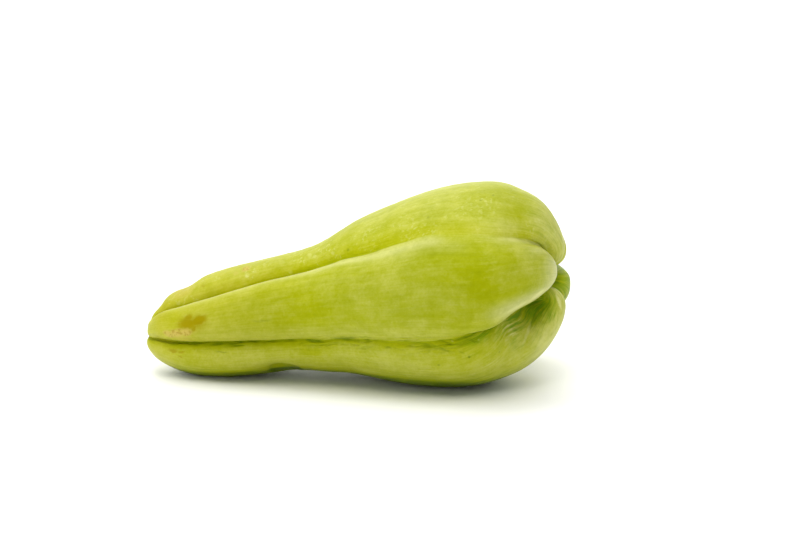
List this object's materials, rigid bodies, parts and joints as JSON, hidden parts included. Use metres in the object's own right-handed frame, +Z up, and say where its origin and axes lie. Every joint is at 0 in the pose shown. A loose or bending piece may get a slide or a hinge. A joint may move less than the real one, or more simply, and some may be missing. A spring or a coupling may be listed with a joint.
{
  "type": "chayote squash",
  "caption": "Whole pear-shaped chayote squash lying on its side, with lobes, lengthwise furrows and a deep fold at the broad blossom end.",
  "frame": {"origin": "Middle of the bottom of the fruit's bounding box, on the surface that it lies on.", "axes": "+X runs along the fruit from the narrow stem end to the broad blossom end, +Y points to the fruit's back as it lies, and +Z points up."},
  "size_m": [0.1528, 0.0842, 0.0717],
  "materials": {
    "skin": "smooth waxy yellow-green fruit skin, semi-matt, darker in the furrows, with fine lengthwise streaks"
  },
  "bodies": {
    "root": {"chayote_fruit": "skin"}
  },
  "joints": []
}
